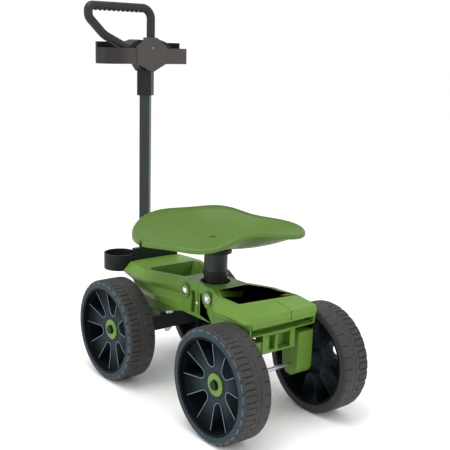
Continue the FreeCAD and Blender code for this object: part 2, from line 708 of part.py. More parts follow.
def tool_holder():
    """The tool holder's rear and front shells: each half of a looped wall."""
    height = "holder_top-holder_bottom"
    plate = prism("hex_plate", "YZ", [
        ("-12", "843"), ("16", "843"), ("45", "holder_top+4"), ("42", "holder_bottom"),
        ("4", "758"), ("2", "758"), ("-42", "holder_bottom"), ("-45", "holder_top+4")],
        "-holder_rear-1", "4")
    low = cut("loop_low", holder_loop("loop_low_outer", "0", "holder_bottom", height),
              holder_loop("loop_low_inner", "holder_wall", "holder_bottom-1",
                          "holder_top-holder_bottom+2"))
    high = cut("loop_high", holder_loop("loop_high_outer", "0", "holder_bottom", height + "+14"),
               holder_loop("loop_high_inner", "holder_wall", "holder_bottom-1",
                           "holder_top-holder_bottom+16"))
    rear_half = block("rear_half", ("-column_x-4", "-200", "700"), ("-200", "200", "900"))
    front_half = block("front_half", ("-400", "-200", "700"), ("-column_x-4", "200", "900"))
    rear = doc.addObject("Part::Common", "loop_rear")
    rear.Base = low
    rear.Tool = rear_half
    front = doc.addObject("Part::Common", "loop_front")
    front.Base = high
    front.Tool = front_half
    hole = rod("plate_hole", ("-holder_rear-20", "3", "holder_top"), "+X", "2", "40")
    node("tool_holder_rear", cut("holder_rear_body", fuse("holder_rear_solid", rear, plate),
                                 hole))
    node("tool_holder_front", front)
    node("tool_holder_screw", screw("holder_screw", ("-holder_rear+3", "3", "holder_top"),
                                    "+X", "3.5", "7", "2"))


def grip_path():
    """The grip's centre line: up from the core, along the top, round and back down."""
    right = size("grip_right")
    left = -size("grip_left")
    top = size("grip_level")
    corners = [Vector(0, right, size("holder_top+20")), Vector(0, right, top),
               Vector(0, left, top + 1), Vector(0, left, top - 26), Vector(0, -127, top - 67),
               Vector(0, -76, top - 91), Vector(0, -34, top - 108)]
    radii = [26, 12, 20, 60, 60]
    edges = []
    start = corners[0]
    for index, radius in enumerate(radii):
        corner = corners[index + 1]
        into = (corner - corners[index]).normalize()
        out = (corners[index + 2] - corner).normalize()
        half = into.getAngle(out) / 2
        back = radius * math.tan(half)
        last = corner + out * back
        middle = corner + (out - into).normalize() * (radius / math.cos(half) - radius)
        edges.append(Part.LineSegment(start, corner - into * back).toShape())
        edges.append(Part.Arc(corner - into * back, middle, last).toShape())
        start = last
    edges.append(Part.LineSegment(start, corners[-1]).toShape())
    return Part.Wire(edges)


def handle_grip():
    """The D-shaped grip: a round bar swept along its path."""
    path = doc.addObject("Part::Feature", "grip_line")
    path.Shape = grip_path()
    path.Placement = Placement(Vector(-size("grip_x"), 0, 0), Rotation())
    ring = doc.addObject("Part::Circle", "grip_ring")
    bind(ring, Radius="grip_radius")
    place(ring, ("-grip_x", "grip_right", "holder_top+20"))
    doc.recompute()
    sweep = doc.addObject("Part::Sweep", "grip_sweep")
    sweep.Sections = [ring]
    sweep.Spine = (path, ["Edge%d" % (index + 1) for index in range(len(path.Shape.Edges))])
    sweep.Solid = True
    sweep.Frenet = True
    collar = block("grip_collar", ("-grip_x-15", "grip_right-14", "holder_top+20"),
                   ("-grip_x+12", "grip_right+14", "holder_top+26"))
    core = block("grip_core_room", ("-holder_front+holder_wall", "-34", "holder_bottom"),
                 ("-holder_rear-holder_wall", "34", "holder_top+20"))
    return cut("grip", fuse("grip_solid", sweep, collar), core)


node("steering_beam", steering_beam())
node("steering_washer", tube("washer_disc", ("-pin_reach", "0", "beam_top"), "+Z", "18",
                             "kingpin_radius+running_gap",
                             "keel_level-side_gap-beam_top"))
node("handle_tube", handle_tube())
node("tube_bolts", tube_bolts())
node("handle_socket", handle_socket())
tool_holder()
node("handle_grip", handle_grip())


# ---------------------------------------------------------------- seat

def seat_sleeve():
    """The sleeve that slides on the stem, closed at the top around the swivel spindle."""
    wall = rod("sleeve_wall", ("join_x", "0", "collar_level"), "+Z", "sleeve_radius",
               "sleeve_top-collar_level")
    room = rod("sleeve_room", ("join_x", "0", "collar_level-5"), "+Z",
               "stem_radius+running_gap", "sleeve_top-9-collar_level+5")
    bore = rod("sleeve_bore", ("join_x", "0", "collar_level"), "+Z",
               "spindle_radius+running_gap", "100")
    return cut("sleeve", wall, room, bore)


node("seat_sleeve", seat_sleeve())
node("sleeve_collar", tube("collar_ring", ("join_x", "0", "collar_level"), "+Z",
                           "sleeve_radius+1.5", "sleeve_radius", "11"))


# Waves round the seat, as (count, height, angle from the nose): first the outline, then the rim.
OUTLINE_WAVES = [(0, 168, 0), (1, -4.6, 0), (2, 27, 0), (3, 8.3, 0), (4, 8.6, 0), (5, 1, 0)]
RIM_WAVES = [(1, 16.7, 70), (2, 11.2, 247), (3, 2.5, 183), (4, 3, 192), (5, 4, 78)]


def waves(terms, angle):
    """The sum of the waves at an angle in degrees from the nose."""
    return sum(height * math.cos(math.radians(count * angle - phase))
               for count, height, phase in terms)


def seat_height(along, across):
    """Height of the dished upper surface; along points to the nose."""
    angle = math.degrees(math.atan2(across, along))
    share = min(math.hypot(along, across) / waves(OUTLINE_WAVES, angle), 1.2)
    rim = size("rim_mean") + waves(RIM_WAVES, angle)
    return size("seat_level") + (rim - size("seat_level")) * share ** 2.2


def seat_surface():
    """A smooth face through a grid of heights, larger than the seat."""
    steps = 33
    reach = 230
    pole_rows = []
    for i in range(steps):
        along = -reach + 2 * reach * i / (steps - 1)
        row = []
        for j in range(steps):
            across = -reach + 2 * reach * j / (steps - 1)
            row.append(Vector(along, across, seat_height(along, across)))
        pole_rows.append(row)
    surface = Part.BSplineSurface()
    surface.interpolate(pole_rows)
    return surface.toShape()


def seat_outline(inset):
    """The rim from above: a broad tail and a narrow nose."""
    points = []
    for step in range(36):
        angle = step * 10
        reach = waves(OUTLINE_WAVES, angle) - inset
        points.append(Vector(reach * math.cos(math.radians(angle)),
                             reach * math.sin(math.radians(angle)), 0))
    curve = Part.BSplineCurve()
    curve.interpolate(points, PeriodicFlag=True)
    wire = Part.Wire([curve.toShape()])
    wire.translate(Vector(0, 0, 300))
    return Part.Face(wire).extrude(Vector(0, 0, 200))


def seat_shell():
    """The dished seat with a down-turned rim, a notch in its tail and a drain slot."""
    top = seat_surface()
    skin = top.extrude(Vector(0, 0, -size("seat_wall")))
    deep = top.extrude(Vector(0, 0, -size("rim_depth")))
    outer = seat_outline(0)
    rim = outer.cut(seat_outline(size("seat_wall")))
    shell = skin.common(outer).fuse(deep.common(rim))
    half = size("notch_width") / 2
    notch = Part.makeBox(60, 2 * half, 200, Vector(170, -half, 300))
    notch = notch.fuse(Part.makeCylinder(half, 200, Vector(170, 0, 300)))
    notch.rotate(Vector(0, 0, 0), Vector(0, 0, 1), -156)
    drain = Part.makeBox(16, 5, 80, Vector(-18.5, 56, 340))
    shell = shell.cut(notch).cut(drain).removeSplitter()
    solid = shell.Solids[0] if len(shell.Solids) == 1 else shell
    seat = doc.addObject("Part::Feature", "seat_moulding")
    seat.Shape = solid
    seat.Placement = Placement(Vector(size("join_x"), 0, 0),
                               Rotation(Vector(0, 0, 1), size("seat_turn")))
    return seat


node("seat_shell", seat_shell())
hub_at = ("join_x", "0", "sleeve_top+side_gap")
hub_height = "seat_level-seat_wall-sleeve_top-side_gap"
node("seat_hub", tube("hub_disc", hub_at, "+Z", "38", "spindle_radius", hub_height))
node("seat_spindle", rod("spindle", ("join_x", "0", "sleeve_top-19"), "+Z", "spindle_radius",
                         "seat_level-seat_wall-sleeve_top+19"))
node("spindle_clip", tube("clip_ring", ("join_x", "0", "sleeve_top-9-3.5"), "+Z", "14",
                          "spindle_radius", "3"))


# ---------------------------------------------------------------- check and write

doc.recompute()
for obj in doc.Objects:
    if "Invalid" in obj.State or "Error" in obj.State:
        raise RuntimeError("%s failed to build: %s" % (obj.Name, obj.State))
for label, obj in nodes.items():
    if obj.Shape.isNull() or not obj.Shape.isValid() or not obj.Shape.Solids:
        raise RuntimeError(label + " is not a valid solid")
os.makedirs("parts", exist_ok=True)
for label, obj in nodes.items():
    obj.Shape.exportStep(os.path.join("parts", label + ".step"))
    print("%-26s %2d solids %9.1f cm3" % (label, len(obj.Shape.Solids), obj.Shape.Volume / 1000))
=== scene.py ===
"""Looks for a rolling garden seat: seat, two tray mouldings, four wheels, steering handle."""

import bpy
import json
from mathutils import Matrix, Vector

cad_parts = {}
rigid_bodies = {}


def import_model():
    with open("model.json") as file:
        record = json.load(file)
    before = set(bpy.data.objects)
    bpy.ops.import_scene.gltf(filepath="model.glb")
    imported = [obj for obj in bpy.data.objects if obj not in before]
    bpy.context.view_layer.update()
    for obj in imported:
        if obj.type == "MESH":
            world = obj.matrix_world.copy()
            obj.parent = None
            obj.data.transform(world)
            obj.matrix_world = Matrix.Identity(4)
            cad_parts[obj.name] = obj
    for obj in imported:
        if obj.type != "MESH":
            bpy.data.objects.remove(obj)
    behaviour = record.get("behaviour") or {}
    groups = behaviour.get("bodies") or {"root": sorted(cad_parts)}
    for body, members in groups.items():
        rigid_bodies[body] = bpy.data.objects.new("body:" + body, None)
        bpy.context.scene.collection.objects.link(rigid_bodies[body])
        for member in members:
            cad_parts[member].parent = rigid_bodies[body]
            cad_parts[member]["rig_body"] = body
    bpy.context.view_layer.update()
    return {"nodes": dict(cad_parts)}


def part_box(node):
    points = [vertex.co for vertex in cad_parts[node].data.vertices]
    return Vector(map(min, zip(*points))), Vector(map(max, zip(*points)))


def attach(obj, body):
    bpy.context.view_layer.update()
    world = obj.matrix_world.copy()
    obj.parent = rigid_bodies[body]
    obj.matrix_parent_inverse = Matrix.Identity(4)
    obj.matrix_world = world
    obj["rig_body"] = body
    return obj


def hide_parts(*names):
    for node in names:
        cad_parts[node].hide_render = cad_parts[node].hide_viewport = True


bl_info = {
    "name": "Rolling Garden Seat Looks",
    "version": (1, 0, 0),
    "blender": (4, 5, 0),
    "location": "View3D > Sidebar > Garden Seat",
    "description": "Builds the visible pieces of a rolling garden seat round its packed frame",
    "category": "Object",
}

import json
import math

import bmesh
import bpy
from mathutils import Matrix, Vector

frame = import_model()
MM = 0.001
TAU = 2 * math.pi


# ------------------------------------------------------------------ settings

def colour(name, description, default):
    """A colour setting."""
    return bpy.props.FloatVectorProperty(
        name=name, description=description, default=default, subtype="COLOR", min=0, max=1, size=3)


def length(name, description, default):
    """A length setting, in metres."""
    return bpy.props.FloatProperty(
        name=name, description=description, default=default, unit="LENGTH", min=0)


class FinishSettings(bpy.types.PropertyGroup):
    """Colours of the plastics and the metal."""
    green: colour("Green", "Moulded green plastic of the decks", (0.108, 0.218, 0.026))
    seat: colour("Seat Green", "Moulded green plastic of the seat", (0.070, 0.142, 0.016))
    black: colour("Black", "Moulded black plastic of the handle and the stem",
                  (0.012, 0.014, 0.015))
    # The near-black centre and the lighter star round the hub are partly painted shade and painted
    # light.
    centre: colour("Wheel Centre", "Plastic of the wheel centres", (0.004, 0.006, 0.008))
    star: colour("Wheel Star", "Wheel centres close to the hub", (0.024, 0.036, 0.044))
    # Scaled down, this colour is also the painted highlight of the tread shoulder dashes.
    bead: colour("Bead", "Rubbed edges of the wheel windows", (0.110, 0.165, 0.190))
    tread: colour("Tread", "Plastic of the treads", (0.033, 0.032, 0.031))
    # The blue tint of this colour is painted cool light on the wheels' side faces.
    flank: colour("Flank", "Side face of the treads", (0.019, 0.036, 0.046))
    plate: colour("Plate", "Warm grey outer faces of the tool holder", (0.050, 0.043, 0.041))
    tube: colour("Tube", "Powder coat of the handle tube", (0.013, 0.020, 0.021))
    steel: colour("Steel", "Zinc-plated bolts and axles", (0.62, 0.64, 0.66))


class SeatSettings(bpy.types.PropertyGroup):
    """Sizes of the dished seat."""
    floor: length("Floor Level", "Height of the dish at its middle", 0.366)
    rim: length("Rim Level", "Mean height of the rim", 0.416)
    wall: length("Wall", "Thickness of the dish", 0.004)
    lip: length("Lip", "Depth of the turned-down rim", 0.0125)
    roundness: length("Roundness", "Radius of the rim's outer edge", 0.007)
    turn: bpy.props.FloatProperty(
        name="Turn", description="Direction of the nose from the rear", default=math.radians(50),
        subtype="ANGLE", unit="ROTATION")


class WheelSettings(bpy.types.PropertyGroup):
    """Sizes of the treads."""
    lugs: bpy.props.IntProperty(
        name="Lugs", description="Tread blocks round a wheel", default=30, min=6, max=60)
    groove: length("Groove Depth", "Depth of the lug outlines", 0.0024)
    notch: length("Shoulder Notch", "Depth of the notches along the outer shoulder", 0.0022)


class StageSettings(bpy.types.PropertyGroup):
    """Camera and light."""
    lens: bpy.props.FloatProperty(
        name="Lens", description="Focal length in millimetres", default=67.67, min=10,
        unit="CAMERA")
    lean: bpy.props.FloatProperty(
        name="Lean", description="Roll of the camera", default=math.radians(1.416),
        subtype="ANGLE", unit="ROTATION")
    key: bpy.props.FloatProperty(
        name="Key Light", description="Power of the main light", default=33, min=0, unit="POWER")
    sky: bpy.props.FloatProperty(
        name="Sky", description="Strength of the even light all round", default=1.04, min=0)


# ------------------------------------------------------------------ finishes

def fresh_finish(name):
    """A new material with only its output and surface shader."""
    finish = bpy.data.materials.new(name)
    finish.use_nodes = True
    tree = finish.node_tree
    tree.nodes.clear()
    out = tree.nodes.new("ShaderNodeOutputMaterial")
    shader = tree.nodes.new("ShaderNodeBsdfPrincipled")
    tree.links.new(shader.outputs["BSDF"], out.inputs["Surface"])
    return finish, tree, shader


def noise_node(tree, scale, detail=3.0, roughness=0.5, stretch=(1, 1, 1)):
    """Noise that sticks to the piece."""
    place = tree.nodes.new("ShaderNodeTexCoord")
    mapping = tree.nodes.new("ShaderNodeMapping")
    mapping.inputs["Scale"].default_value = stretch
    noise = tree.nodes.new("ShaderNodeTexNoise")
    noise.inputs["Scale"].default_value = scale
    noise.inputs["Detail"].default_value = detail
    noise.inputs["Roughness"].default_value = roughness
    tree.links.new(place.outputs["Object"], mapping.inputs["Vector"])
    tree.links.new(mapping.outputs["Vector"], noise.inputs["Vector"])
    return noise


def ramp_node(tree, source, stops):
    """A colour ramp fed by a value. stops are (position, colour) pairs."""
    ramp = tree.nodes.new("ShaderNodeValToRGB")
    while len(ramp.color_ramp.elements) < len(stops):
        ramp.color_ramp.elements.new(0.5)
    for element, (position, shade) in zip(ramp.color_ramp.elements, stops):
        element.position = position
        element.color = (*shade, 1)
    tree.links.new(source, ramp.inputs["Fac"])
    return ramp


def scaled(shade, factor):
    """A colour made lighter or darker."""
    return tuple(min(1.0, part * factor) for part in shade)


def moulded(name, shade, rough=0.45, grain=900.0, depth=0.00012, spread=0.10, gloss=0.5,
            scuff=0.0):
    """Moulded plastic: soft colour drift, fine spark-eroded grain and uneven gloss."""
    finish, tree, shader = fresh_finish(name)
    drift = noise_node(tree, 9.0, 4.0, 0.55)
    ramp = ramp_node(tree, drift.outputs["Fac"], [
        (0.28, scaled(shade, 1 - spread)), (0.55, shade), (0.78, scaled(shade, 1 + spread))])
    base = ramp.outputs["Color"]
    if scuff:
        marks = noise_node(tree, 160.0, 6.0, 0.7, (1, 1, 0.25))
        mask = ramp_node(tree, marks.outputs["Fac"], [(0.60, (0, 0, 0)), (0.74, (1, 1, 1))])
        strength = tree.nodes.new("ShaderNodeMath")
        strength.operation = "MULTIPLY"
        strength.inputs[1].default_value = scuff
        tree.links.new(mask.outputs["Color"], strength.inputs[0])
        mix = tree.nodes.new("ShaderNodeMix")
        mix.data_type = "RGBA"
        tree.links.new(strength.outputs["Value"], mix.inputs["Factor"])
        tree.links.new(base, mix.inputs["A"])
        mix.inputs["B"].default_value = (*scaled(shade, 2.2), 1)
        base = mix.outputs["Result"]
    tree.links.new(base, shader.inputs["Base Color"])
    patches = noise_node(tree, 45.0, 5.0, 0.6)
    sheen = tree.nodes.new("ShaderNodeMapRange")
    sheen.inputs["From Min"].default_value = 0.3
    sheen.inputs["From Max"].default_value = 0.7
    sheen.inputs["To Min"].default_value = rough - 0.06
    sheen.inputs["To Max"].default_value = rough + 0.07
    tree.links.new(patches.outputs["Fac"], sheen.inputs["Value"])
    tree.links.new(sheen.outputs["Result"], shader.inputs["Roughness"])
    shader.inputs["Specular IOR Level"].default_value = gloss
    fine = noise_node(tree, grain, 2.0, 0.5)
    bump = tree.nodes.new("ShaderNodeBump")
    bump.inputs["Strength"].default_value = 0.55
    bump.inputs["Distance"].default_value = depth
    tree.links.new(fine.outputs["Fac"], bump.inputs["Height"])
    tree.links.new(bump.outputs["Normal"], shader.inputs["Normal"])
    return finish


def plated(name, shade, rough=0.22):
    """Zinc-plated steel with faint turning lines."""
    finish, tree, shader = fresh_finish(name)
    cloud = noise_node(tree, 120.0, 4.0, 0.6)
    ramp = ramp_node(tree, cloud.outputs["Fac"], [
        (0.3, scaled(shade, 0.82)), (0.7, scaled(shade, 1.08))])
    tree.links.new(ramp.outputs["Color"], shader.inputs["Base Color"])
    shader.inputs["Metallic"].default_value = 1.0
    streak = noise_node(tree, 500.0, 3.0, 0.6, (1, 0.1, 1))
    spread = tree.nodes.new("ShaderNodeMapRange")
    spread.inputs["To Min"].default_value = rough - 0.06
    spread.inputs["To Max"].default_value = rough + 0.14
    tree.links.new(streak.outputs["Fac"], spread.inputs["Value"])
    tree.links.new(spread.outputs["Result"], shader.inputs["Roughness"])
    bump = tree.nodes.new("ShaderNodeBump")
    bump.inputs["Strength"].default_value = 0.25
    bump.inputs["Distance"].default_value = 0.00005
    tree.links.new(streak.outputs["Fac"], bump.inputs["Height"])
    tree.links.new(bump.outputs["Normal"], shader.inputs["Normal"])
    return finish


def coated(name, shade):
    """Powder coat: fine orange peel with a soft shine."""
    finish, tree, shader = fresh_finish(name)
    drift = noise_node(tree, 25.0, 3.0)
    ramp = ramp_node(tree, drift.outputs["Fac"], [
        (0.3, scaled(shade, 0.88)), (0.7, scaled(shade, 1.12))])
    tree.links.new(ramp.outputs["Color"], shader.inputs["Base Color"])
    shader.inputs["Roughness"].default_value = 0.40
    shader.inputs["Specular IOR Level"].default_value = 0.28
    shader.inputs["Coat Weight"].default_value = 0.04
    peel = noise_node(tree, 700.0, 2.0)
    bump = tree.nodes.new("ShaderNodeBump")
    bump.inputs["Strength"].default_value = 0.4
    bump.inputs["Distance"].default_value = 0.0001
    tree.links.new(peel.outputs["Fac"], bump.inputs["Height"])
    tree.links.new(bump.outputs["Normal"], shader.inputs["Normal"])
    return finish


def plate_with_painted_shade(name, shade):
    """Warm grey plastic with painted shade: darker towards the round end of the tool holder."""
    finish = moulded(name, shade, 0.48, 900.0, 0.00010, 0.10, 0.30)
    tree = finish.node_tree
    shader = next(node for node in tree.nodes if node.type == "BSDF_PRINCIPLED")
    place = tree.nodes.new("ShaderNodeTexCoord")
    parts = tree.nodes.new("ShaderNodeSeparateXYZ")
    # Painted shade: along the piece's Y the colour fades to 0.3 of the plate grey towards the
    # round end.
    fade = tree.nodes.new("ShaderNodeMapRange")
    fade.inputs["From Min"].default_value = -0.050
    fade.inputs["From Max"].default_value = -0.095
    mix = tree.nodes.new("ShaderNodeMix")
    mix.data_type = "RGBA"
    mix.inputs["B"].default_value = (*scaled(shade, 0.30), 1)
    tree.links.new(place.outputs["Object"], parts.inputs["Vector"])
    tree.links.new(parts.outputs["Y"], fade.inputs["Value"])
    tree.links.new(fade.outputs["Result"], mix.inputs["Factor"])
    tree.links.new(shader.inputs["Base Color"].links[0].from_socket, mix.inputs["A"])
    tree.links.new(mix.outputs["Result"], shader.inputs["Base Color"])
    return finish


def hub_star_with_painted_light(name, inner, outer, hub):
    """Plastic of a wheel centre, partly its own tone and partly painted light and shade: a lighter
    star round the hub that fades to a dark rim.
    """
    finish = moulded(name, outer, 0.55, 900.0, 0.00012, 0.14, 0.05)
    tree = finish.node_tree
    shader = next(node for node in tree.nodes if node.type == "BSDF_PRINCIPLED")
    place = tree.nodes.new("ShaderNodeTexCoord")
    away = tree.nodes.new("ShaderNodeVectorMath")
    away.operation = "SUBTRACT"
    away.inputs[1].default_value = (hub.x, 0, hub.z)
    flat = tree.nodes.new("ShaderNodeVectorMath")
    flat.operation = "MULTIPLY"
    flat.inputs[1].default_value = (1, 0, 1)
    reach = tree.nodes.new("ShaderNodeVectorMath")
    reach.operation = "LENGTH"
    fade = tree.nodes.new("ShaderNodeMapRange")
    fade.inputs["From Min"].default_value = 0.040
    fade.inputs["From Max"].default_value = 0.082
    mix = tree.nodes.new("ShaderNodeMix")
    mix.data_type = "RGBA"
    # Painted light and shade, in part: lighter near the hub, darkening outwards to the rim.
    mix.inputs["A"].default_value = (*inner, 1)
    tree.links.new(place.outputs["Object"], away.inputs[0])
    tree.links.new(away.outputs["Vector"], flat.inputs[0])
    tree.links.new(flat.outputs["Vector"], reach.inputs[0])
    tree.links.new(reach.outputs["Value"], fade.inputs["Value"])
    tree.links.new(fade.outputs["Result"], mix.inputs["Factor"])
    tree.links.new(shader.inputs["Base Color"].links[0].from_socket, mix.inputs["B"])
    tree.links.new(mix.outputs["Result"], shader.inputs["Base Color"])
    return finish


def finish_named(name):
    """The finish of that name, made on first use from the scene's settings."""
    made = bpy.data.materials.get(name)
    if made:
        return made
    shades = bpy.context.scene.garden_finish
    if name == "GreenPlastic":
        return moulded(name, tuple(shades.green), 0.46, 800.0, 0.00010, 0.07, 0.34)
    if name == "SeamShade":
        return moulded(name, scaled(tuple(shades.green), 0.35), 0.55, 800.0, 0.0001, 0.07, 0.1)
    if name == "SeatPlastic":
        return moulded(name, tuple(shades.seat), 0.44, 800.0, 0.00010, 0.05, 0.30)
    if name == "BlackPlastic":
        return moulded(name, tuple(shades.black), 0.44, 1000.0, 0.00012, 0.12, 0.14)
    if name == "GripPlastic":
        return moulded(name, scaled(tuple(shades.black), 1.3), 0.36, 1300.0, 0.00008, 0.12, 0.22)
    if name == "BeadPlastic":
        return moulded(name, tuple(shades.bead), 0.40, 900.0, 0.00006, 0.12, 0.5)
    # Painted highlight: lighter dashes where light catches the tread shoulder between the lugs.
    if name == "DashPaintedHighlight":
        return moulded(name, scaled(tuple(shades.bead), 0.55), 0.48, 900.0, 0.00010, 0.3, 0.3)
    if name == "TreadPlastic":
        return moulded(name, tuple(shades.tread), 0.55, 420.0, 0.00030, 0.16, 0.25, 0.25)
    # Painted light: a bluish copy of the tread plastic for the side faces, standing in for cool
    # light from the side.
    if name == "FlankPaintedCoolLight":
        return moulded(name, tuple(shades.flank), 0.52, 700.0, 0.00018, 0.14, 0.15, 0.2)
    # Tool holder plastic with painted shade towards its round end.
    if name == "PlatePlasticPaintedShade":
        return plate_with_painted_shade(name, tuple(shades.plate))
    if name == "TubeCoat":
        return coated(name, tuple(shades.tube))
    if name == "DullSteel":
        return plated(name, scaled(tuple(shades.steel), 0.3), 0.42)
    if name == "Steel":
        return plated(name, tuple(shades.steel))
    raise ValueError("no finish is named " + name)


# ------------------------------------------------------------------ making pieces

def body_of(node):
    """The body that a frame node rides on."""
    return frame["nodes"][node]["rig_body"]


def set_piece(name, mesh, body, finishes, stands_for=(), crease=35.0):
    """Links a mesh as a smooth piece that rides on a body and takes its finishes."""
    mesh.polygons.foreach_set("use_smooth", [True] * len(mesh.polygons))
    mesh.set_sharp_from_angle(angle=math.radians(crease))
    for finish in finishes:
        mesh.materials.append(finish_named(finish))
    piece = bpy.data.objects.new(name, mesh)
    bpy.context.scene.collection.objects.link(piece)
    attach(piece, body)
    if stands_for:
        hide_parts(*stands_for)
    return piece


def soften(piece, width, segments=2, angle=35.0):
    """Rounds a piece's sharp edges."""
    bevel = piece.modifiers.new("Softened edges", "BEVEL")
    bevel.width = width
    bevel.segments = segments
    bevel.limit_method = "ANGLE"
    bevel.angle_limit = math.radians(angle)
    bevel.use_clamp_overlap = True
    bevel.miter_outer = "MITER_ARC"
    weights = piece.modifiers.new("Flat faces stay flat", "WEIGHTED_NORMAL")
    weights.keep_sharp = True
    return piece


def mesh_from(name, points, faces):
    """A mesh from points and faces, with outward normals."""
    form = bmesh.new()
    corners = [form.verts.new(point) for point in points]
    for face in faces:
        form.faces.new([corners[index] for index in face])
    bmesh.ops.recalc_face_normals(form, faces=form.faces)
    mesh = bpy.data.meshes.new(name)
    form.to_mesh(mesh)
    form.free()
    return mesh


def dressed(node, name, finish, width=0.0008, segments=2):
    """A frame node's own shape with clean faces and softened edges."""
    form = bmesh.new()
    form.from_mesh(frame["nodes"][node].data)
    bmesh.ops.remove_doubles(form, verts=form.verts, dist=0.00002)
    bmesh.ops.dissolve_limit(form, angle_limit=math.radians(0.8), verts=form.verts,
                             edges=form.edges, use_dissolve_boundaries=False)
    mesh = bpy.data.meshes.new(name)
    form.to_mesh(mesh)
    form.free()
    piece = set_piece(name, mesh, body_of(node), [finish], [node])
    return soften(piece, width, segments) if width else piece


def ring_faces(rows, columns, closed_rows=False):
    """Quads between rows of points that close round on themselves."""
    faces = []
    last = rows if closed_rows else rows - 1
    for row in range(last):
        above = (row + 1) % rows
        for column in range(columns):
            beside = (column + 1) % columns
            faces.append((row * columns + column, row * columns + beside,
                          above * columns + beside, above * columns + column))
    return faces


def lathe(name, profile, columns=64, closed=True):
    """A turned mesh: profile is (radius, height) points, turned about Z."""
    points = []
    for radius, height in profile:
        for column in range(columns):
            angle = TAU * column / columns
            points.append((radius * math.cos(angle), radius * math.sin(angle), height))
    return mesh_from(name, points, ring_faces(len(profile), columns, closed))


def swept(name, line, radius, sides=16, shape=None):
    """A capped tube along a line of points. shape(step, angle) gives a local radius."""
    points = []
    up = Vector((1, 0, 0))
    for step, point in enumerate(line):
        before = line[max(step - 1, 0)]
        after = line[min(step + 1, len(line) - 1)]
        along = (after - before).normalized()
        across = up.cross(along).normalized()
        for side in range(sides):
            angle = TAU * side / sides
            reach = shape(step, angle) if shape else radius
            points.append(point + reach * (math.cos(angle) * across + math.sin(angle) * up))
    faces = ring_faces(len(line), sides)
    faces.append(tuple(range(sides)))
    faces.append(tuple(reversed([(len(line) - 1) * sides + side for side in range(sides)])))
    return mesh_from(name, points, faces)


def merged(name, meshes):
    """One mesh from several."""
    form = bmesh.new()
    for mesh in meshes:
        form.from_mesh(mesh)
        bpy.data.meshes.remove(mesh)
    whole = bpy.data.meshes.new(name)
    form.to_mesh(whole)
    form.free()
    return whole


def moved(mesh, matrix):
    """The mesh after a change of place."""
    mesh.transform(matrix)
    return mesh


def bar(low, high):
    """A straight-sided bar between two corners."""
    (a, b, c), (d, e, f) = low, high
    points = [(a, b, c), (d, b, c), (d, e, c), (a, e, c),
              (a, b, f), (d, b, f), (d, e, f), (a, e, f)]
    faces = [(0, 3, 2, 1), (4, 5, 6, 7), (0, 1, 5, 4), (1, 2, 6, 5), (2, 3, 7, 6), (3, 0, 4, 7)]
    return mesh_from("bar", points, faces)


def plate(corners, thickness, side):
    """A flat plate in an upright plane: corners are (x, y, z), thickened along Y."""
    count = len(corners)
    back = [(x, y + side * thickness, z) for x, y, z in corners]
    faces = [tuple(range(count)), tuple(reversed(range(count, 2 * count)))]
    faces += [(i, (i + 1) % count, count + (i + 1) % count, count + i) for i in range(count)]
    return mesh_from("plate", list(corners) + back, faces)


# ------------------------------------------------------------------ seat

OUTLINE_WAVES = [(0, 168, 0), (1, -4.6, 0), (2, 27, 0), (3, 8.3, 0), (4, 8.6, 0), (5, 1, 0)]
RIM_WAVES = [(1, 16.7, 70), (2, 11.2, 247), (3, 2.5, 183), (4, 3, 192), (5, 4, 78)]


def waves(terms, angle):
    """The sum of the waves, in metres, at an angle in degrees from the nose."""
    return MM * sum(height * math.cos(math.radians(count * angle - phase))
                    for count, height, phase in terms)


